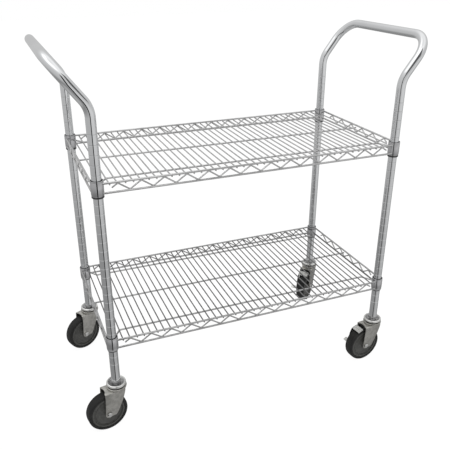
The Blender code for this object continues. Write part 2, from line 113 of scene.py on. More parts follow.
# ---- collars and sleeves, heights from the shelf's top rails ----
COLLAR_RADIUS = 0.0167
COLLAR_PROFILE = (
    (0.01500, 0.0068),
    (0.01515, 0.0075),
    (0.01640, 0.0075),
    (0.01670, 0.0070),
    (0.01670, 0.0052),
    (0.01655, 0.0049),
    (0.01655, 0.0045),
    (0.01670, 0.0042),
    (0.01645, -0.0240),
    (0.01620, -0.0285),
    (0.01580, -0.0315),
    (0.01545, -0.0328),
    (0.01510, -0.0330),
)
SLEEVE_PROFILE = {
    "upper": ((0.01315, 0.0058), (0.01330, 0.0062), (0.01435, 0.0062), (0.01450, 0.0056),
              (0.01450, -0.0328), (0.01560, -0.0336), (0.01585, -0.0352), (0.01570, -0.0368),
              (0.01500, -0.0375), (0.01330, -0.0375), (0.01310, -0.0368)),
    "lower": ((0.01315, 0.0058), (0.01330, 0.0062), (0.01435, 0.0062), (0.01450, 0.0056),
              (0.01450, -0.0352), (0.01435, -0.0362), (0.01330, -0.0362), (0.01310, -0.0355)),
}
SLIT_TURN = math.radians(15.0)
SLIT_HALF_ANGLE = math.radians(3.0)
RING_STEPS = 56

# ---- casters ----
CASTER_STEPS = 64
TYRE_STEPS = 128
FASTENER_STEPS = 32
PIN_STEPS = 24
STEM_PROFILE = (
    (0.0, 0.2050),
    (0.0096, 0.2050),
    (0.0104, 0.2042),
    (0.0104, 0.1556),
    (0.0144, 0.1556),
    (0.0150, 0.1550),
    (0.0150, 0.1512),
    (0.0144, 0.1505),
    (0.0118, 0.1500),
    (0.0104, 0.1480),
    (0.0104, 0.1452),
    (0.0112, 0.1436),
    (0.0136, 0.1434),
    (0.0158, 0.1438),
    (0.0178, 0.1446),
    (0.0194, 0.1458),
    (0.0206, 0.1468),
    (0.0220, 0.1478),
    (0.0236, 0.1485),
    (0.0243, 0.1485),
    (0.0243, 0.1425),
    (0.0095, 0.1425),
    (0.0095, 0.1380),
    (0.0060, 0.1380),
    (0.0060, 0.1266),
    (0.0088, 0.1264),
    (0.0088, 0.1248),
    (0.0066, 0.1232),
    (0.0, 0.1230),
)
CUP_RIM_PROFILE = (
    (0.0239, 0.1485),
    (0.0246, 0.1490),
    (0.0256, 0.1490),
    (0.0267, 0.1483),
    (0.0275, 0.1472),
    (0.0280, 0.1458),
    (0.0280, 0.1428),
    (0.0276, 0.1418),
    (0.0268, 0.1413),
    (0.0250, 0.1411),
    (0.0239, 0.1430),
)
BALL_RADIUS = 0.0020
BALL_CIRCLE = 0.0168
BALL_COUNT = 22
BALL_HEIGHT = 0.1400
BALL_SUBDIVISIONS = 2
CROWN_TOP = 0.1300
CROWN_THICKNESS = 0.0030
CROWN_HALF_WIDTH = 0.0223
CROWN_CUT = (0.1200, 0.1400)
FOLD_RADIUS = 0.0040
FOLD_STEPS = 6
BOSS_PROFILE = (
    (0.0, 0.1374),
    (0.0180, 0.1374),
    (0.0206, 0.1371),
    (0.0222, 0.1374),
    (0.0262, 0.1374),
    (0.0280, 0.1372),
    (0.0290, 0.1364),
    (0.0293, 0.1350),
    (0.0286, 0.1320),
    (0.0276, 0.1308),
    (0.0272, 0.1285),
    (0.0, 0.1285),
)
KINGPIN_HOLE = 0.0066
NOTCH_RADIUS = 0.0300
NOTCH_CENTRE = 0.0675
AXLE_HOLE = 0.0054
LEG_FOOT_RADIUS = 0.0115
LEG_FOOT_SWEEP = math.radians(-130.0)
LEG_FOOT_STEPS = 12
LEG_TRAILING = ((0.0420, 0.1400), (0.0428, 0.1150), (0.0440, 0.0905), (0.0465, 0.0590))
LEG_LEADING = ((0.0150, 0.0505), (0.0085, 0.0590), (0.0010, 0.0740), (-0.0070, 0.0920),
               (-0.0145, 0.1120), (-0.0190, 0.1310), (-0.0205, 0.1400))
OUTLINE_STEPS = 6
LEG_LENGTH_SPAN = (-0.0300, 0.0600)
LEG_LOWEST = 0.0400
CUT_ACROSS = (-0.0300, 0.0300)
PRESSED_EDGE = 0.0005
PRESSED_EDGE_SEGMENTS = 2
TYRE_PROFILE = (
    (0.0495, 0.0138),
    (0.0502, 0.0146),
    (0.0530, 0.0150),
    (0.0556, 0.0149),
    (0.0572, 0.0141),
    (0.0583, 0.0122),
    (0.0588, 0.0090),
    (0.05895, 0.0045),
    (0.05895, -0.0045),
    (0.0588, -0.0090),
    (0.0583, -0.0122),
    (0.0572, -0.0141),
    (0.0556, -0.0149),
    (0.0530, -0.0150),
    (0.0502, -0.0146),
    (0.0495, -0.0138),
)
CORE_HALF = (
    (0.0058, 0.0182),
    (0.0062, 0.0186),
    (0.0118, 0.0186),
    (0.0128, 0.0178),
    (0.0134, 0.0132),
    (0.0150, 0.0118),
    (0.0200, 0.0112),
    (0.0345, 0.0112),
    (0.0356, 0.0118),
    (0.0372, 0.0118),
    (0.0382, 0.0108),
    (0.0416, 0.0106),
    (0.0424, 0.0112),
    (0.0432, 0.0138),
    (0.0440, 0.0142),
    (0.0476, 0.0142),
    (0.0484, 0.0136),
    (0.0492, 0.0134),
)
BOLT_HEAD_RADIUS = 0.0079
BOLT_HEAD_SPAN = (0.0226, 0.0262)
HEXAGON = 6
BOLT_SHANK_PROFILE = (
    (0.0, 0.0272),
    (0.0030, 0.0271),
    (0.0052, 0.0266),
    (0.0064, 0.0260),
    (0.0064, 0.0240),
    (0.0048, 0.0232),
    (0.0048, -0.0284),
    (0.0042, -0.0291),
    (0.0, -0.0292),
)
NUT_FLATS_RADIUS = 0.0078
NUT_FLATS_SPAN = (-0.0300, -0.0200)
NUT_PROFILE = (
    (0.0052, -0.0228),
    (0.0078, -0.0228),
    (0.0078, -0.0256),
    (0.0066, -0.0264),
    (0.0064, -0.0274),
    (0.0056, -0.0276),
    (0.0052, -0.0276),
)

# ---- foot brakes, positions from the pedal's pivot pin ----
BRAKE_PIVOT = (0.0385, 0.1233)
PIN_PROFILE = (
    (0.0, 0.0226),
    (0.0018, 0.0222),
    (0.0018, -0.0222),
    (0.0, -0.0226),
)
BARREL_RADIUS = 0.0034
BARREL_BORE = 0.0021
BARREL_HALF = 0.0150
WEB_OUTLINE = ((0.0, -0.0020), (0.0140, -0.0018), (0.0140, 0.0012), (0.0, 0.0024))
RIB_SPANS = ((-0.0140, -0.0122), (0.0122, 0.0140))
PAD_TOP = ((0.0128, 0.0016), (0.0300, -0.0070))
PAD_THICKNESS = 0.0032
PAD_HALF = 0.0170
KNURL_ROWS = 4
KNURL_COLUMNS = 8
KNURL_SIDES = 4
KNURL_HEIGHT = 0.0013
KNURL_SUNK = 0.0001
KNURL_FOOT = 0.68  # half of each point's width across corners, in knurl pitches
KNURL_TIP = 0.28
ARM_OUTLINE = ((0.0170, -0.0030), (0.0285, -0.0085), (0.0345, -0.0200), (0.0390, -0.0380),
               (0.0405, -0.0580), (0.0405, -0.0650), (0.0285, -0.0650), (0.0285, -0.0590),
               (0.0300, -0.0420), (0.0270, -0.0260))
ARM_STEPS = 3
ARM_SPAN = (-0.0190, -0.0168)
TAB_OUTLINE = ((0.0290, -0.0600), (0.0400, -0.0660), (0.0411, -0.0640), (0.0301, -0.0580))
TAB_SPAN = (-0.0420, -0.0172)

# ---- camera and stage ----
CAMERA_PLACE = (-0.6452, -1.5651, 1.2544)
CAMERA_PITCH = math.radians(24.76)
CAMERA_YAW = math.radians(21.96)
LENS = 46.9
SENSOR = 36.0
FLOOR_WIDTH = 24.0
FLOOR_ROUGHNESS = 0.9
FLOOR_WHITENESS = (0.90, 0.10)  # in the light that it gives, as the camera sees it
FLOOR_GLOW = (0.62, 0.94)
OVERHEAD_PLACE = (-0.3, -0.6, 3.2)
OVERHEAD_TARGET = (0.0, 0.0, 0.4)
OVERHEAD_SIZE = 2.4
OVERHEAD_POWER = 30.0
# Brightness of the room by height: degrees above the horizon, level.
HEIGHT_STOPS = (
    (-90.0, 0.45),
    (-48.0, 0.44),
    (-38.0, 0.27),
    (-28.0, 0.31),
    (-20.0, 0.42),
    (-14.0, 0.50),
    (-5.0, 0.56),
    (12.0, 0.58),
    (28.0, 0.65),
    (42.0, 0.78),
    (58.0, 0.98),
    (75.0, 0.95),
    (90.0, 0.88),
)
# A paler stretch of floor in front of the cart: degrees round from -Y towards -X, extra level,
# and degrees above the horizon, share of that extra.
WINDOW_ROUND_STOPS = (
    (-180.0, 0.0),
    (-84.0, 0.0),
    (-62.0, 0.17),
    (0.0, 0.17),
    (12.0, 0.0),
    (180.0, 0.0),
)
WINDOW_UP_STOPS = (
    (-90.0, 0.0),
    (-50.0, 0.0),
    (-42.0, 1.0),
    (-8.0, 1.0),
    (4.0, 0.0),
    (90.0, 0.0),
)
# Ceiling lights over the cart's left side, in the same way.
CEILING_ROUND_STOPS = (
    (-180.0, 0.0),
    (-30.0, 0.0),
    (20.0, 0.40),
    (140.0, 0.40),
    (170.0, 0.0),
    (180.0, 0.0),
)
CEILING_UP_STOPS = (
    (-90.0, 0.0),
    (40.0, 0.0),
    (50.0, 1.0),
    (68.0, 1.0),
    (76.0, 0.0),
    (90.0, 0.0),
)
# Cards that only the chrome shows: name, place, width, height, brightness.
CARDS = (
    ("dark_flag", (-0.66, -1.62, 0.25), 0.46, 2.9, 0.0),
    ("dark_boom", (0.27, -0.74, 1.52), 0.70, 0.80, 0.12),
)
CARDS_FACE = (0.0, 0.0)
HIDDEN_FROM = ("camera", "diffuse", "shadow", "transmission", "volume_scatter")

# ---- finish ----
# Base colour of the wires, from dull to bright patches. The lower shelf's wires are darker: painted
# shade, for the shade under the upper shelf.
WIRE_TONES_AND_SHADE = {
    "lower_cross_wire": (0.19, 0.29),
    "lower_frame_wire": (0.46, 0.58),
    "upper_cross_wire": (0.60, 0.72),
    "upper_frame_wire": (0.58, 0.72),
}
RAMP_SPAN = (0.35, 0.65)  # the part of a noise texture's range that the colours use
ROUGHNESS_SPAN = (0.3, 0.7)
NOISE_DETAIL = 4.0
RUBBER_SPECULAR = 0.3

# ---- making the meshes ----
WELD_DISTANCE = 0.00001
SHARP_ANGLE = math.radians(35.0)
OUTLINE_IN_XZ = Matrix.Rotation(math.radians(90.0), 4, "X")
OUTLINE_IN_YZ = Matrix.Rotation(math.radians(90.0), 4, "Z") @ OUTLINE_IN_XZ
AXLE_TURN = Matrix.Rotation(math.radians(-90.0), 4, "X")


# ---- places read from the frame ----

def box_middle(node):
    low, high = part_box(node)
    return (low + high) / 2.0


def joint_place(name):
    for joint in frame["joints"]:
        if joint["name"] == name:
            return Vector(joint["pos_m"])
    raise ValueError(name)


POSTS = {corner: box_middle(f"{corner}_caster_stem") for corner in CORNERS}
AXLES = {corner: joint_place(f"{corner}_wheel_spin") for corner in CORNERS}
AXLE_Z = AXLES["front_left"].z
TRAIL = (AXLES["front_left"] - POSTS["front_left"]).to_2d().length
MIDDLE_Y = (POSTS["front_left"].y + POSTS["back_left"].y) / 2.0


def rail_height(level):
    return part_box(f"{level}_shelf_front_truss")[1].z - RAIL_RADIUS


def caster_frame(corner):
    post = POSTS[corner]
    trail = AXLES[corner] - post
    turn = Matrix.Rotation(math.atan2(trail.y, trail.x), 4, "Z")
    return Matrix.Translation((post.x, post.y, 0.0)) @ turn


# ---- materials ----

class Shader:
    """A Principled material whose colour, roughness and bump come from noise textures."""

    def __init__(self, name, metallic):
        self.material = bpy.data.materials.new(name)
        self.material.use_nodes = True
        self.nodes = self.material.node_tree.nodes
        self.links = self.material.node_tree.links
        self.principled = self.nodes["Principled BSDF"]
        self.principled.inputs["Metallic"].default_value = metallic
        self.place = self.nodes.new("ShaderNodeTexCoord").outputs["Object"]

    def noise(self, scale, detail=NOISE_DETAIL, stretch=(1.0, 1.0, 1.0)):
        mapping = self.nodes.new("ShaderNodeMapping")
        mapping.inputs["Scale"].default_value = stretch
        texture = self.nodes.new("ShaderNodeTexNoise")
        texture.inputs["Scale"].default_value = scale
        texture.inputs["Detail"].default_value = detail
        self.links.new(self.place, mapping.inputs["Vector"])
        self.links.new(mapping.outputs["Vector"], texture.inputs["Vector"])
        return texture.outputs["Fac"]

    def colour(self, fac, dark, light):
        ramp = self.nodes.new("ShaderNodeValToRGB")
        first, last = ramp.color_ramp.elements
        first.position = RAMP_SPAN[0]
        first.color = (*dark, 1.0)
        last.position = RAMP_SPAN[1]
        last.color = (*light, 1.0)
        self.links.new(fac, ramp.inputs["Fac"])
        self.links.new(ramp.outputs["Color"], self.principled.inputs["Base Color"])

    def roughness(self, fac, low, high):
        span = self.nodes.new("ShaderNodeMapRange")
        span.inputs["From Min"].default_value = ROUGHNESS_SPAN[0]
        span.inputs["From Max"].default_value = ROUGHNESS_SPAN[1]
        span.inputs["To Min"].default_value = low
        span.inputs["To Max"].default_value = high
        self.links.new(fac, span.inputs["Value"])
        self.links.new(span.outputs["Result"], self.principled.inputs["Roughness"])

    def bump(self, fac, distance):
        bump = self.nodes.new("ShaderNodeBump")
        bump.inputs["Distance"].default_value = distance
        self.links.new(fac, bump.inputs["Height"])
        self.links.new(bump.outputs["Normal"], self.principled.inputs["Normal"])


def bright_chrome():
    """Polished tube: mirror bright, with faint lengthwise polishing marks."""
    shader = Shader("bright_chrome", metallic=1.0)
    cloud = shader.noise(scale=6.0)
    fine = shader.noise(scale=900.0, stretch=(1.0, 1.0, 0.05))
    shader.colour(cloud, dark=(0.80, 0.81, 0.82), light=(0.88, 0.89, 0.90))
    shader.roughness(cloud, low=0.02, high=0.05)
    shader.bump(fine, distance=0.000002)
    return shader.material


def plated_wire(name):
    """Drawn wire under uneven plating, as bright as the shelf's tones have it; the lower shelf's darker
    tones are painted shade.
    """
    shader = Shader(name, metallic=1.0)
    dull, bright = WIRE_TONES_AND_SHADE[name]
    shader.colour(shader.noise(scale=40.0), dark=(dull, dull, dull), light=(bright, bright, bright))
    fine = shader.noise(scale=700.0)
    shader.roughness(fine, low=0.12, high=0.24)
    shader.bump(fine, distance=0.00001)
    return shader.material


def plated_collar():
    shader = Shader("plated_collar", metallic=1.0)
    shader.colour(shader.noise(scale=60.0), dark=(0.50, 0.50, 0.51), light=(0.62, 0.62, 0.63))
    fine = shader.noise(scale=1200.0)
    shader.roughness(fine, low=0.03, high=0.08)
    shader.bump(fine, distance=0.000005)
    return shader.material


def black_sleeve():
    shader = Shader("black_sleeve", metallic=0.0)
    shader.colour(shader.noise(scale=200.0),
                  dark=(0.012, 0.012, 0.013), light=(0.022, 0.022, 0.023))
    fine = shader.noise(scale=2500.0)
    shader.roughness(fine, low=0.38, high=0.52)
    shader.bump(fine, distance=0.00002)
    return shader.material


def zinc_plate():
    """Pressed steel under zinc: soft reflections and a faint mottling."""
    shader = Shader("zinc_plate", metallic=1.0)
    shader.colour(shader.noise(scale=90.0, detail=6.0),
                  dark=(0.40, 0.395, 0.37), light=(0.54, 0.53, 0.50))
    shader.roughness(shader.noise(scale=260.0), low=0.26, high=0.42)
    shader.bump(shader.noise(scale=1500.0), distance=0.00002)
    return shader.material


def polished_zinc():
    """The brake treads: brighter and smoother than the pressings."""
    shader = Shader("polished_zinc", metallic=1.0)
    shader.colour(shader.noise(scale=90.0), dark=(0.58, 0.58, 0.56), light=(0.70, 0.70, 0.68))
    fine = shader.noise(scale=900.0)
    shader.roughness(fine, low=0.13, high=0.20)
    shader.bump(fine, distance=0.000002)
    return shader.material


def shaded_dish_zinc():
    """The swivel stem and its cup's dish in a dark plate: painted shade, for the cup's shadowed channel
    round the stem.
    """
    shader = Shader("shaded_dish_zinc", metallic=1.0)
    shader.colour(shader.noise(scale=70.0), dark=(0.34, 0.34, 0.34), light=(0.48, 0.48, 0.48))
    fine = shader.noise(scale=900.0)
    shader.roughness(fine, low=0.16, high=0.26)
    shader.bump(fine, distance=0.000002)
    return shader.material


def pale_rim_highlight():
    """The swivel cups' rolled rims, in a paler copy of the dish's plate: painted highlight."""
    shader = Shader("pale_rim_highlight", metallic=1.0)
    shader.colour(shader.noise(scale=90.0), dark=(0.80, 0.80, 0.78), light=(0.90, 0.90, 0.88))
    fine = shader.noise(scale=900.0)
    shader.roughness(fine, low=0.26, high=0.34)
    shader.bump(fine, distance=0.000002)
    return shader.material


def near_black_steel():
    """Near-black metal for the balls and the brake levers, oily in patches; on the levers the dark
    colour is painted shade, for the shade under the crown and pad.
    """
    shader = Shader("near_black_steel", metallic=0.6)
    shader.colour(shader.noise(scale=120.0),
                  dark=(0.010, 0.010, 0.010), light=(0.026, 0.026, 0.025))
    shader.roughness(shader.noise(scale=400.0), low=0.32, high=0.50)
    shader.bump(shader.noise(scale=1500.0), distance=0.00002)
    return shader.material


def bright_fastener():
    shader = Shader("bright_fastener", metallic=1.0)
    shader.colour(shader.noise(scale=150.0), dark=(0.58, 0.58, 0.57), light=(0.72, 0.72, 0.71))
    fine = shader.noise(scale=1800.0)
    shader.roughness(fine, low=0.18, high=0.32)
    shader.bump(fine, distance=0.00001)
    return shader.material


def wheel_plastic():
    shader = Shader("wheel_plastic", metallic=0.0)
    shader.colour(shader.noise(scale=120.0),
                  dark=(0.034, 0.034, 0.031), light=(0.050, 0.050, 0.046))
    fine = shader.noise(scale=2200.0)
    shader.roughness(fine, low=0.40, high=0.55)
    shader.bump(fine, distance=0.00003)
    return shader.material


def tyre_rubber():
    """Dark grey rubber, dustier in patches, with a fine moulded grain."""
    shader = Shader("tyre_rubber", metallic=0.0)
    shader.colour(shader.noise(scale=35.0, detail=6.0),
                  dark=(0.007, 0.007, 0.007), light=(0.015, 0.015, 0.014))
    fine = shader.noise(scale=1600.0)
    shader.roughness(fine, low=0.55, high=0.70)
    shader.bump(fine, distance=0.00004)
    shader.principled.inputs["Specular IOR Level"].default_value = RUBBER_SPECULAR
    return shader.material


# ---- modelling helpers ----

def linked(name, data):
    obj = bpy.data.objects.new(name, data)
    bpy.context.scene.collection.objects.link(obj)
    return obj


def clean(mesh):
    bm = bmesh.new()
    bm.from_mesh(mesh)
    bmesh.ops.remove_doubles(bm, verts=bm.verts, dist=WELD_DISTANCE)
    bmesh.ops.recalc_face_normals(bm, faces=bm.faces)
    bm.to_mesh(mesh)
    bm.free()
    mesh.shade_smooth()
    mesh.set_sharp_from_angle(angle=SHARP_ANGLE)


def as_mesh(source, name):
    """Replace an object by a plain mesh of what it evaluates to, with its place in the mesh."""
    bpy.context.view_layer.update()
    evaluated = source.evaluated_get(bpy.context.evaluated_depsgraph_get())
    mesh = bpy.data.meshes.new_from_object(evaluated)
    mesh.transform(source.matrix_world)
    bpy.data.objects.remove(source, do_unlink=True)
    clean(mesh)
    mesh.name = name
    return linked(name, mesh)


def poly_curve(name, paths, resolution, radius, capped=True):
    """Round rods along paths of (position, size) points."""
    curve = bpy.data.curves.new(name, "CURVE")
    curve.dimensions = "3D"
    curve.bevel_depth = radius
    curve.bevel_resolution = resolution
    curve.use_fill_caps = capped
    for path in paths:
        spline = curve.splines.new("POLY")
        spline.points.add(len(path) - 1)
        for point, (position, size) in zip(spline.points, path):
            point.co = (*position, 1.0)
            point.radius = size
    return linked(name, curve)


def turned(name, profile, steps, turn=Matrix.Identity(4), ring=False):
    """A solid of revolution about local Z from (radius, height) points, top to bottom."""
    mesh = bpy.data.meshes.new(name)
    count = len(profile)
    edges = [(i, i + 1) for i in range(count - 1)]
    if ring:
        edges.append((count - 1, 0))
    mesh.from_pydata([(radius, 0.0, height) for radius, height in profile], edges, [])
    obj = linked(name, mesh)
    screw = obj.modifiers.new("turn", "SCREW")
    screw.axis = "Z"
    screw.angle = 2.0 * math.pi
    screw.steps = steps
    screw.render_steps = steps
    screw.use_merge_vertices = True
    screw.merge_threshold = WELD_DISTANCE
    obj.matrix_world = turn
    return as_mesh(obj, name)


def prism(name, outline, span, turn=Matrix.Identity(4)):
    """A flat outline given a thickness: local X and Y hold the outline, span is along local Z."""
    curve = bpy.data.curves.new(name, "CURVE")
    curve.dimensions = "2D"
    curve.fill_mode = "BOTH"
    curve.extrude = (span[1] - span[0]) / 2.0
    spline = curve.splines.new("POLY")
    spline.points.add(len(outline) - 1)
    spline.use_cyclic_u = True
    for point, (x, y) in zip(spline.points, outline):
        point.co = (x, y, 0.0, 1.0)
    obj = linked(name, curve)
    obj.matrix_world = turn @ Matrix.Translation((0.0, 0.0, (span[0] + span[1]) / 2.0))
    return as_mesh(obj, name)


def drum(name, radius, span, sides, turn):
    mesh = bpy.data.meshes.new(name)
    bm = bmesh.new()
    middle = Matrix.Translation((0.0, 0.0, (span[0] + span[1]) / 2.0))
    bmesh.ops.create_cone(bm, cap_ends=True, segments=sides, radius1=radius, radius2=radius,
                          depth=span[1] - span[0], matrix=turn @ middle)
    bm.to_mesh(mesh)
    bm.free()
    return linked(name, mesh)


def combined(target, tools):
    """Apply (object, operation) Boolean steps to target and remove the tools."""
    for tool, operation in tools:
        modifier = target.modifiers.new(operation.lower(), "BOOLEAN")
        modifier.operation = operation
        modifier.solver = "EXACT"
        modifier.object = tool
    result = as_mesh(target, target.name)
    for tool, _ in tools:
        bpy.data.objects.remove(tool, do_unlink=True)
    return result


def rounded(obj):
    bevel = obj.modifiers.new("edges", "BEVEL")
    bevel.width = PRESSED_EDGE
    bevel.segments = PRESSED_EDGE_SEGMENTS
    bevel.limit_method = "ANGLE"
    bevel.angle_limit = SHARP_ANGLE
    return as_mesh(obj, obj.name)


def joined(name, objects):
    bm = bmesh.new()
    for obj in objects:
        bm.from_mesh(obj.data)
        bpy.data.objects.remove(obj, do_unlink=True)
    mesh = bpy.data.meshes.new(name)
    bm.to_mesh(mesh)
    bm.free()
    mesh.shade_smooth()
    mesh.set_sharp_from_angle(angle=SHARP_ANGLE)
    return linked(name, mesh)


def moved(obj, matrix):
    obj.data.transform(matrix)
    return obj


def smooth_line(points, steps):
    """Points along a Catmull-Rom curve through the given 2D points."""
    ends = [points[0], *points, points[-1]]
    line = []
    for first, start, end, last in zip(ends, ends[1:], ends[2:], ends[3:]):
        p0, p1, p2, p3 = (Vector(p) for p in (first, start, end, last))
        for step in range(steps):
            t = step / steps
            line.append(0.5 * (2.0 * p1 + (p2 - p0) * t + (2.0 * p0 - 5.0 * p1 + 4.0 * p2 - p3) * t * t
                               + (3.0 * p1 - p0 - 3.0 * p2 + p3) * t * t * t))
    line.append(Vector(points[-1]))
    return line


def arc(centre, radius, start, end, steps):
    return [Vector((centre[0] + radius * math.cos(start + (end - start) * i / steps),
                    centre[1] + radius * math.sin(start + (end - start) * i / steps)))
            for i in range(steps + 1)]


def place_piece(obj, body, node, material):
    """Finish a piece: its material and the body that it rides on; the CAD node that it stands for is
    hidden.
    """
    obj.data.materials.clear()
    obj.data.materials.append(material)
    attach(obj, body)
    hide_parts(node)


# ---- end frames ----

def handle_half(foot):
    """(distance out of the post's line, inward distance, height, tube size) up to the handle bar."""
    points = [(0.0, 0.0, foot, 1.0)]
    height = GROOVE_PHASE
    while height < GROOVE_LAST_Z:
        if height > GROOVE_FIRST_Z:
            points += [(0.0, 0.0, height + offset, size) for offset, size in GROOVE_SHAPE]
        height += GROOVE_PITCH
    for step in range(BEND_STEPS + 1):
        angle = LEAN_ANGLE * step / BEND_STEPS
        points.append((LEAN_BEND_RADIUS * (1.0 - math.cos(angle)), 0.0,
                       LEAN_START_Z + LEAN_BEND_RADIUS * math.sin(angle), 1.0))
    along, _, up, _ = points[-1]
    for step in range(BEND_STEPS + 1):
        angle = math.pi / 2.0 * step / BEND_STEPS
        run = LEAN_STRAIGHT + HANDLE_CORNER_RADIUS * math.sin(angle)
        points.append((along + run * math.sin(LEAN_ANGLE),
                       HANDLE_CORNER_RADIUS * (1.0 - math.cos(angle)),
                       up + run * math.cos(LEAN_ANGLE), 1.0))
    return points


def end_frame(side, corner_front, corner_back, material):
    name = f"{side}_handle_frame"
    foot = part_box(name)[0].z
    front_post, back_post = POSTS[corner_front], POSTS[corner_back]
    outward = math.copysign(1.0, front_post.x)
    half = handle_half(foot)
    front = [((front_post.x + outward * out, front_post.y + inward, up), size)
             for out, inward, up, size in half]
    back = [((back_post.x + outward * out, back_post.y - inward, up), size)
            for out, inward, up, size in reversed(half)]
    tube = poly_curve(name + "_tube", [front + back], TUBE_BEVEL_RESOLUTION, TUBE_RADIUS,
                      capped=False)
    tube = as_mesh(tube, name + "_tube")
    wall = tube.modifiers.new("wall", "SOLIDIFY")
    wall.thickness = TUBE_WALL
    wall.offset = -1.0
    tube = as_mesh(tube, tube.name)
    place_piece(tube, "frame", name, material)


# ---- shelves ----

def rounded_ends(path, radius):
    """(position, size) points of a rod whose cut ends are slightly rounded."""
    points = [Vector(p) for p in path]
    first_run = (points[1] - points[0]).normalized()
    last_run = (points[-2] - points[-1]).normalized()
    start = [(points[0] + first_run * radius * away, size) for away, size in WIRE_END_SHAPE]
    end = [(points[-1] + last_run * radius * away, size) for away, size in reversed(WIRE_END_SHAPE)]
    return start + [(point, 1.0) for point in points[1:-1]] + end


def rod_group(name, paths, radius, resolution):
    """Wires along paths, thicker than bare wire by the plating that also closes their welds."""
    rods = [rounded_ends(path, radius) for path in paths]
    return as_mesh(poly_curve(name, rods, resolution, radius + WELD_SWELL), name)


def filleted(points, radius, steps):
    """A 2D line whose inner points are replaced by arcs."""
    line = [Vector(points[0])]
    for before, corner, after in zip(points, points[1:], points[2:]):
        corner = Vector(corner)
        back = (Vector(before) - corner).normalized()
        ahead = (Vector(after) - corner).normalized()
        half_angle = math.acos(max(-1.0, min(1.0, back.dot(ahead)))) / 2.0
        middle = corner + (back + ahead).normalized() * (radius / math.sin(half_angle))
        start = corner + back * (radius / math.tan(half_angle)) - middle
        end = corner + ahead * (radius / math.tan(half_angle)) - middle
        turn = start.angle_signed(end)
        for step in range(steps + 1):
            angle = -turn * step / steps
            line.append(middle + Matrix.Rotation(angle, 2) @ start)
    line.append(Vector(points[-1]))
    return line


def zigzag_points(peaks):
    """(distance along, drop from the top rail) of the zigzag wire, with round bends."""
    rise = RAIL_DROP - 2.0 * ZIGZAG_BEND_DEPTH
    slope = math.atan2(rise, ZIGZAG_PITCH / 2.0)
    sharpness = ZIGZAG_BEND_RADIUS * (1.0 / math.cos(slope) - 1.0)
    top = -ZIGZAG_BEND_DEPTH + sharpness
    bottom = ZIGZAG_BEND_DEPTH - RAIL_DROP - sharpness
    first = -ZIGZAG_PITCH * (peaks - 1) / 2.0
    stub_drop = top - (top - bottom) * ZIGZAG_STUB / (ZIGZAG_PITCH / 2.0)
    points = [(first - ZIGZAG_STUB, stub_drop)]
    for bend in range(2 * peaks - 1):
        points.append((first + bend * ZIGZAG_PITCH / 2.0, bottom if bend % 2 else top))
    points.append((-first + ZIGZAG_STUB, stub_drop))
    return filleted(points, ZIGZAG_BEND_RADIUS, ZIGZAG_BEND_STEPS)


def truss(level, side, material):
    """Two straight rails with the zigzag wire welded between them, along X or along Y."""
    name = f"{level}_shelf_{side}_truss"
    middle = box_middle(name)
    height = rail_height(level)
    lengthwise = side in ("front", "back")
    low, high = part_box(name)
    if lengthwise:
        peaks, half = LONG_PEAKS, (high.x - low.x) / 2.0 + RAIL_INTO_COLLAR
    else:
        peaks, half = SHORT_PEAKS, (high.y - low.y) / 2.0 + RAIL_INTO_COLLAR

    def at(along, z):
        return (along, middle.y, z) if lengthwise else (middle.x, middle.y + along, z)

    rails = [[at(-half, z), at(half, z)] for z in (height, height - RAIL_DROP)]
    rail_part = rod_group(name + "_rails", rails, RAIL_RADIUS, RAIL_BEVEL_RESOLUTION)
    zigzag = [at(along, height + drop) for along, drop in zigzag_points(peaks)]
    wire_part = rod_group(name + "_zigzag", [zigzag], ZIGZAG_RADIUS, WIRE_BEVEL_RESOLUTION)
    wires = joined(name + "_wires", [rail_part, wire_part])
    place_piece(wires, "frame", name, material)


def cross_wire_paths(height):
    level = height - CROSS_DROP
    spans = []
    for number in range(FULL_CROSS_WIRES):
        x = (number - (FULL_CROSS_WIRES - 1) / 2.0) * CROSS_PITCH
        at_peak = number % WIRES_PER_PEAK == 1
        spans.append((x, PEAK_WIRE_HALF if at_peak else FULL_WIRE_HALF))
    spans += [(-SHORT_WIRE_X, SHORT_WIRE_HALF), (SHORT_WIRE_X, SHORT_WIRE_HALF)]
    return [[(x, MIDDLE_Y - half, level), (x, MIDDLE_Y + half, level)] for x, half in spans]


def support_paths(height):
    """Three long wires under the cross wires; the outer two bend towards the corner collars."""
    level = height - SUPPORT_DROP
    paths = [[(-MIDDLE_SUPPORT_HALF, MIDDLE_Y, level), (MIDDLE_SUPPORT_HALF, MIDDLE_Y, level)]]
    post_x = POSTS["front_right"].x
    post_y = POSTS["back_right"].y - MIDDLE_Y
    end_x = post_x - COLLAR_RADIUS * math.cos(SUPPORT_END_ANGLE)
    end_y = post_y - COLLAR_RADIUS * math.sin(SUPPORT_END_ANGLE)
    bend_x = end_x - (end_y - SUPPORT_Y) / math.tan(SUPPORT_END_ANGLE)
    half = [(end_x, end_y), (bend_x, SUPPORT_Y), (-bend_x, SUPPORT_Y), (-end_x, end_y)]
    bent = filleted(half, ZIGZAG_BEND_RADIUS, ZIGZAG_BEND_STEPS)
    for side in (-1.0, 1.0):
        paths.append([(x, MIDDLE_Y + side * y, level) for x, y in bent])
    return paths


def deck(level, cross_material, frame_material):
    name = f"{level}_shelf_deck"
    height = rail_height(level)
    cross = rod_group(name + "_cross", cross_wire_paths(height), CROSS_RADIUS,
                      WIRE_BEVEL_RESOLUTION)
    supports = rod_group(name + "_supports", support_paths(height), SUPPORT_RADIUS,
                         WIRE_BEVEL_RESOLUTION)
    place_piece(cross, "frame", name, cross_material)
    place_piece(supports, "frame", name, frame_material)


def collar(level, corner, material):
    name = f"{level}_collar_{corner}"
    middle = box_middle(name)
    place = Matrix.Translation((middle.x, middle.y, rail_height(level)))
    obj = turned(name + "_ring", COLLAR_PROFILE, RING_STEPS, place, ring=True)
    place_piece(obj, "frame", name, material)


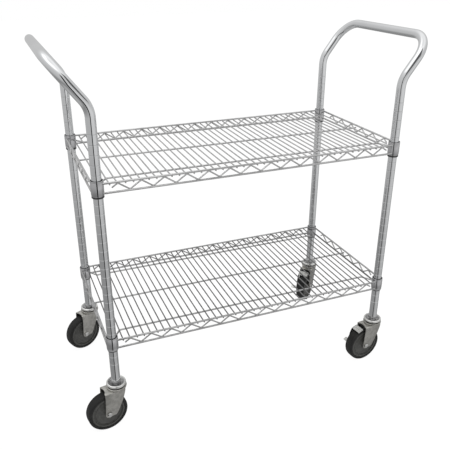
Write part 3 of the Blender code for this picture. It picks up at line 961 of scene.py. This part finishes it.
def sleeve(level, corner, material):
    """A split ring: the profile swept round, but for the slit, and closed at both slit faces."""
    name = f"{level}_sleeve_{corner}"
    middle = box_middle(name)
    profile = SLEEVE_PROFILE[level]
    mesh = bpy.data.meshes.new(name)
    bm = bmesh.new()
    start = SLIT_TURN + SLIT_HALF_ANGLE
    sweep = 2.0 * math.pi - 2.0 * SLIT_HALF_ANGLE
    rings = []
    for step in range(RING_STEPS + 1):
        angle = start + sweep * step / RING_STEPS
        rings.append([bm.verts.new((radius * math.cos(angle), radius * math.sin(angle), height))
                      for radius, height in profile])
    count = len(profile)
    for first, second in zip(rings, rings[1:]):
        for index in range(count):
            after = (index + 1) % count
            bm.faces.new((first[index], second[index], second[after], first[after]))
    bm.faces.new(rings[0])
    bm.faces.new(reversed(rings[-1]))
    bm.to_mesh(mesh)
    bm.free()
    mesh.transform(Matrix.Translation((middle.x, middle.y, rail_height(level))))
    clean(mesh)
    place_piece(linked(name + "_split_ring", mesh), "frame", name, material)


# ---- casters ----

def stem(corner, dish_material, rim_material):
    name = f"{corner}_caster_stem"
    dish = turned(name + "_turned", STEM_PROFILE, CASTER_STEPS)
    rim = turned(name + "_cup_rim", CUP_RIM_PROFILE, CASTER_STEPS, ring=True)
    for obj, material in ((dish, dish_material), (rim, rim_material)):
        moved(obj, caster_frame(corner))
        place_piece(obj, "frame", name, material)


def ball_race(corner, material):
    name = f"{corner}_ball_race"
    balls = bpy.data.meshes.new(name)
    bm = bmesh.new()
    for number in range(BALL_COUNT):
        angle = 2.0 * math.pi * number / BALL_COUNT
        place = Matrix.Translation((BALL_CIRCLE * math.cos(angle), BALL_CIRCLE * math.sin(angle),
                                    BALL_HEIGHT))
        bmesh.ops.create_icosphere(bm, subdivisions=BALL_SUBDIVISIONS, radius=BALL_RADIUS,
                                   matrix=place)
    bm.to_mesh(balls)
    bm.free()
    balls.shade_smooth()
    obj = moved(linked(name + "_balls", balls), caster_frame(corner))
    place_piece(obj, f"{corner}_swivel", name, material)


def leg_outline():
    """Side view of the fork: trailing edge, round foot below the axle, curved leading edge."""
    foot = arc((TRAIL, AXLE_Z), LEG_FOOT_RADIUS, 0.0, LEG_FOOT_SWEEP, LEG_FOOT_STEPS)
    return smooth_line(LEG_TRAILING, OUTLINE_STEPS) + foot[1:] + smooth_line(LEG_LEADING,
                                                                             OUTLINE_STEPS)


def channel_outline():
    """End view of the fork: a crown plate with a leg folded down on each side."""
    outer = CROWN_HALF_WIDTH
    inner = outer - CROWN_THICKNESS
    under = CROWN_TOP - CROWN_THICKNESS
    inner_fold = FOLD_RADIUS - CROWN_THICKNESS
    outside = arc((outer - FOLD_RADIUS, CROWN_TOP - FOLD_RADIUS), FOLD_RADIUS, 0.0,
                  math.pi / 2.0, FOLD_STEPS)
    inside = arc((inner - inner_fold, under - inner_fold), inner_fold, math.pi / 2.0, 0.0,
                 FOLD_STEPS)
    right = [Vector((outer, LEG_LOWEST)), *outside]
    left = [Vector((-p.x, p.y)) for p in reversed(right)]
    right_inside = [*inside, Vector((inner, LEG_LOWEST))]
    left_inside = [Vector((-p.x, p.y)) for p in reversed(right_inside)]
    return right + left + left_inside + right_inside


def fork(corner, material):
    name = f"{corner}_fork"
    body = prism(name + "_pressing", channel_outline(), LEG_LENGTH_SPAN, OUTLINE_IN_YZ)
    side_view = prism("side_view", leg_outline(), CUT_ACROSS, OUTLINE_IN_XZ)
    boss = turned("boss", BOSS_PROFILE, CASTER_STEPS)
    notch = drum("notch", NOTCH_RADIUS, CROWN_CUT, CASTER_STEPS,
                 Matrix.Translation((NOTCH_CENTRE, 0.0, 0.0)))
    kingpin = drum("kingpin", KINGPIN_HOLE, CROWN_CUT, CASTER_STEPS, Matrix.Identity(4))
    axle = drum("axle", AXLE_HOLE, CUT_ACROSS, FASTENER_STEPS,
                Matrix.Translation((TRAIL, 0.0, AXLE_Z)) @ AXLE_TURN)
    body = combined(body, [(side_view, "INTERSECT"), (notch, "DIFFERENCE"), (boss, "UNION"),
                           (kingpin, "DIFFERENCE"), (axle, "DIFFERENCE")])
    body = rounded(body)
    moved(body, caster_frame(corner))
    place_piece(body, f"{corner}_swivel", name, material)


def on_axle(corner):
    return caster_frame(corner) @ Matrix.Translation((TRAIL, 0.0, AXLE_Z)) @ AXLE_TURN


def wheel(corner, core_material, tyre_material):
    mirrored = [(radius, -z) for radius, z in reversed(CORE_HALF)]
    core = turned(f"{corner}_wheel_core_moulding", list(CORE_HALF) + mirrored, CASTER_STEPS,
                  ring=True)
    moved(core, on_axle(corner))
    place_piece(core, f"{corner}_wheel", f"{corner}_wheel_core", core_material)
    tyre = turned(f"{corner}_tyre_band", TYRE_PROFILE, TYRE_STEPS, ring=True)
    moved(tyre, on_axle(corner))
    place_piece(tyre, f"{corner}_wheel", f"{corner}_tyre", tyre_material)


def axle_bolt(corner, material):
    """A hexagon head with a domed top on a plain shank."""
    name = f"{corner}_axle_bolt"
    shank = turned(name + "_shank", BOLT_SHANK_PROFILE, FASTENER_STEPS)
    head = rounded(drum(name + "_head", BOLT_HEAD_RADIUS, BOLT_HEAD_SPAN, HEXAGON,
                        Matrix.Identity(4)))
    bolt = combined(shank, [(head, "UNION")])
    bolt.name = name + "_hexagon"
    moved(bolt, on_axle(corner))
    place_piece(bolt, f"{corner}_swivel", name, material)


def axle_nut(corner, material):
    """A lock nut: six flats below a round collar."""
    name = f"{corner}_axle_nut"
    round_part = turned(name + "_lock", NUT_PROFILE, FASTENER_STEPS, ring=True)
    flats = drum("flats", NUT_FLATS_RADIUS, NUT_FLATS_SPAN, HEXAGON, Matrix.Identity(4))
    nut = combined(round_part, [(flats, "INTERSECT")])
    moved(nut, on_axle(corner))
    place_piece(nut, f"{corner}_swivel", name, material)


# ---- foot brakes ----

def knurled_pad(name):
    """The pressed plate underfoot: raised points in rows on its sloping top."""
    (inner, inner_z), (outer, outer_z) = PAD_TOP
    slope = math.atan2(inner_z - outer_z, outer - inner)
    length = math.hypot(outer - inner, outer_z - inner_z)
    outline = ((0.0, -PAD_THICKNESS), (length, -PAD_THICKNESS), (length, 0.0), (0.0, 0.0))
    plate = rounded(prism(name, outline, (-PAD_HALF, PAD_HALF), OUTLINE_IN_XZ))
    bm = bmesh.new()
    bm.from_mesh(plate.data)
    pitch_x = (length - 2.0 * PRESSED_EDGE) / KNURL_ROWS
    pitch_y = 2.0 * (PAD_HALF - PRESSED_EDGE) / KNURL_COLUMNS
    turn = Matrix.Rotation(math.radians(45.0), 4, "Z")
    for row in range(KNURL_ROWS):
        for column in range(KNURL_COLUMNS):
            x = PRESSED_EDGE + (row + 0.5) * pitch_x
            y = -PAD_HALF + PRESSED_EDGE + (column + 0.5) * pitch_y
            place = Matrix.Translation((x, y, KNURL_HEIGHT / 2.0 - KNURL_SUNK))
            bmesh.ops.create_cone(bm, cap_ends=True, segments=KNURL_SIDES, radius1=pitch_y * KNURL_FOOT,
                                  radius2=pitch_y * KNURL_TIP, depth=KNURL_HEIGHT,
                                  matrix=place @ turn)
    bm.to_mesh(plate.data)
    bm.free()
    tilt = Matrix.Translation((inner, 0.0, inner_z)) @ Matrix.Rotation(slope, 4, "Y")
    return moved(plate, tilt)


def brake_pedal(corner, dark, bright):
    """A lever darkened as painted shade, from the pin to an arm down the far side, with a bright tread
    and tab.
    """
    name = f"{corner}_brake_pedal"
    barrel = drum(name + "_barrel", BARREL_RADIUS, (-BARREL_HALF, BARREL_HALF), FASTENER_STEPS,
                  AXLE_TURN)
    ribs = [prism(f"rib_{span[0]}", WEB_OUTLINE, span, OUTLINE_IN_XZ) for span in RIB_SPANS]
    arm = prism("arm", smooth_line(ARM_OUTLINE, ARM_STEPS),
                (-ARM_SPAN[1], -ARM_SPAN[0]), OUTLINE_IN_XZ)
    tab = prism("tab", TAB_OUTLINE, (-TAB_SPAN[1], -TAB_SPAN[0]), OUTLINE_IN_XZ)
    bore = drum("bore", BARREL_BORE, CUT_ACROSS, PIN_STEPS, AXLE_TURN)
    steps = [(part, "UNION") for part in (*ribs, arm)]
    lever = rounded(combined(barrel, [*steps, (bore, "DIFFERENCE")]))
    lever.name = name + "_lever"
    tread = joined(name + "_tread", [knurled_pad(name + "_pad"), rounded(tab)])
    pivot = Matrix.Translation((BRAKE_PIVOT[0], 0.0, BRAKE_PIVOT[1]))
    for part, material in ((lever, dark), (tread, bright)):
        moved(part, caster_frame(corner) @ pivot)
        place_piece(part, f"{corner}_brake", name, material)


def brake_pin(corner, material):
    name = f"{corner}_brake_pin"
    pin = turned(name + "_riveted", PIN_PROFILE, PIN_STEPS)
    pivot = Matrix.Translation((BRAKE_PIVOT[0], 0.0, BRAKE_PIVOT[1]))
    moved(pin, caster_frame(corner) @ pivot @ AXLE_TURN)
    place_piece(pin, f"{corner}_swivel", name, material)


# ---- stage, light and camera ----

def turn_stops(stops):
    return [((180.0 + degrees) / 360.0, level) for degrees, level in stops]


def sine_stops(stops):
    return [(0.5 + 0.5 * math.sin(math.radians(degrees)), level) for degrees, level in stops]


def ramp_from(nodes, links, source, stops):
    ramp = nodes.new("ShaderNodeValToRGB")
    elements = ramp.color_ramp.elements
    while len(elements) > 1:
        elements.remove(elements[-1])
    for index, (position, level) in enumerate(stops):
        element = elements[0] if index == 0 else elements.new(position)
        element.position = position
        element.color = (level, level, level, 1.0)
    links.new(source, ramp.inputs["Fac"])
    return ramp.outputs["Color"]


def studio():
    """A soft white room: white to the camera, with darker gaps between lights for the chrome."""
    world = bpy.data.worlds.new("studio")
    bpy.context.scene.world = world
    world.use_nodes = True
    nodes, links = world.node_tree.nodes, world.node_tree.links
    background = nodes["Background"]
    direction = nodes.new("ShaderNodeTexCoord").outputs["Generated"]
    split = nodes.new("ShaderNodeSeparateXYZ")
    links.new(direction, split.inputs["Vector"])

    def math_node(operation, first, second):
        node = nodes.new("ShaderNodeMath")
        node.operation = operation
        for socket, value in zip(node.inputs, (first, second)):
            if isinstance(value, float):
                socket.default_value = value
            else:
                links.new(value, socket)
        return node.outputs["Value"]

    azimuth = math_node("ARCTAN2", math_node("MULTIPLY", split.outputs["X"], -1.0),
                        math_node("MULTIPLY", split.outputs["Y"], -1.0))
    turn = math_node("ADD", math_node("DIVIDE", azimuth, 2.0 * math.pi), 0.5)
    rise = math_node("ADD", math_node("MULTIPLY", split.outputs["Z"], 0.5), 0.5)
    level = ramp_from(nodes, links, rise, sine_stops(HEIGHT_STOPS))
    for round_stops, up_stops in ((WINDOW_ROUND_STOPS, WINDOW_UP_STOPS),
                                  (CEILING_ROUND_STOPS, CEILING_UP_STOPS)):
        around = ramp_from(nodes, links, turn, turn_stops(round_stops))
        upward = ramp_from(nodes, links, rise, sine_stops(up_stops))
        level = math_node("ADD", level, math_node("MULTIPLY", around, upward))
    seen = nodes.new("ShaderNodeLightPath").outputs["Is Camera Ray"]
    links.new(math_node("MAXIMUM", level, seen), background.inputs["Color"])


def rectangle(name, width, height):
    mesh = bpy.data.meshes.new(name)
    bm = bmesh.new()
    bmesh.ops.create_grid(bm, x_segments=1, y_segments=1, size=0.5)
    bm.to_mesh(mesh)
    bm.free()
    mesh.transform(Matrix.Diagonal((width, height, 1.0, 1.0)))
    return linked(name, mesh)


def floor():
    obj = rectangle("floor", FLOOR_WIDTH, FLOOR_WIDTH)
    obj.visible_glossy = False
    material = bpy.data.materials.new("floor_white")
    material.use_nodes = True
    nodes, links = material.node_tree.nodes, material.node_tree.links
    principled = nodes["Principled BSDF"]
    principled.inputs["Roughness"].default_value = FLOOR_ROUGHNESS
    principled.inputs["Specular IOR Level"].default_value = 0.0
    principled.inputs["Emission Color"].default_value = (1.0, 1.0, 1.0, 1.0)
    seen = nodes.new("ShaderNodeLightPath").outputs["Is Camera Ray"]
    for socket, (lighting, to_camera) in (("Base Color", FLOOR_WHITENESS),
                                          ("Emission Strength", FLOOR_GLOW)):
        share = nodes.new("ShaderNodeMapRange")
        share.inputs["To Min"].default_value = lighting
        share.inputs["To Max"].default_value = to_camera
        links.new(seen, share.inputs["Value"])
        links.new(share.outputs["Result"], principled.inputs[socket])
    obj.data.materials.append(material)


def cards():
    """Upright panels standing round the cart, facing it, seen only in reflections."""
    for name, place, width, height, level in CARDS:
        obj = rectangle(name, width, height)
        facing = Vector((CARDS_FACE[0] - place[0], CARDS_FACE[1] - place[1], 0.0))
        obj.location = place
        obj.rotation_euler = facing.to_track_quat("Z", "Y").to_euler()
        for ray in HIDDEN_FROM:
            setattr(obj, f"visible_{ray}", False)
        material = bpy.data.materials.new(name)
        material.use_nodes = True
        nodes, links = material.node_tree.nodes, material.node_tree.links
        glow = nodes.new("ShaderNodeEmission")
        glow.inputs["Color"].default_value = (level, level, level, 1.0)
        links.new(glow.outputs["Emission"], nodes["Material Output"].inputs["Surface"])
        obj.data.materials.append(material)


def overhead_light():
    light = bpy.data.lights.new("overhead", "AREA")
    light.shape = "DISK"
    light.size = OVERHEAD_SIZE
    light.energy = OVERHEAD_POWER
    obj = linked("overhead", light)
    obj.location = OVERHEAD_PLACE
    aim = Vector(OVERHEAD_TARGET) - Vector(OVERHEAD_PLACE)
    obj.rotation_euler = aim.to_track_quat("-Z", "Y").to_euler()
    obj.visible_camera = False
    obj.visible_glossy = False


def camera():
    data = bpy.data.cameras.new("camera")
    data.lens = LENS
    data.sensor_width = SENSOR
    obj = linked("camera", data)
    obj.location = CAMERA_PLACE
    obj.rotation_euler = (math.pi / 2.0 - CAMERA_PITCH, 0.0, -CAMERA_YAW)
    bpy.context.scene.camera = obj


def stage():
    bpy.context.scene.view_settings.view_transform = "Standard"
    studio()
    floor()
    cards()
    overhead_light()
    camera()


# ---- the whole cart ----

def build():
    chrome = bright_chrome()
    ring = plated_collar()
    black = black_sleeve()
    zinc = zinc_plate()
    polished = polished_zinc()
    shaded_dish = shaded_dish_zinc()
    rim = pale_rim_highlight()
    near_black = near_black_steel()
    bright = bright_fastener()
    plastic = wheel_plastic()
    rubber = tyre_rubber()
    for side in ("left", "right"):
        end_frame(side, f"front_{side}", f"back_{side}", chrome)
    for level in LEVELS:
        cross_wire = plated_wire(f"{level}_cross_wire")
        frame_wire = plated_wire(f"{level}_frame_wire")
        deck(level, cross_wire, frame_wire)
        for side in ("front", "back", "left", "right"):
            truss(level, side, frame_wire)
        for corner in CORNERS:
            collar(level, corner, ring)
            sleeve(level, corner, black)
    for corner in CORNERS:
        stem(corner, shaded_dish, rim)
        ball_race(corner, near_black)
        fork(corner, zinc)
        wheel(corner, plastic, rubber)
        axle_bolt(corner, bright)
        axle_nut(corner, bright)
        if corner in BRAKED:
            brake_pedal(corner, near_black, polished)
            brake_pin(corner, bright)


build()
stage()
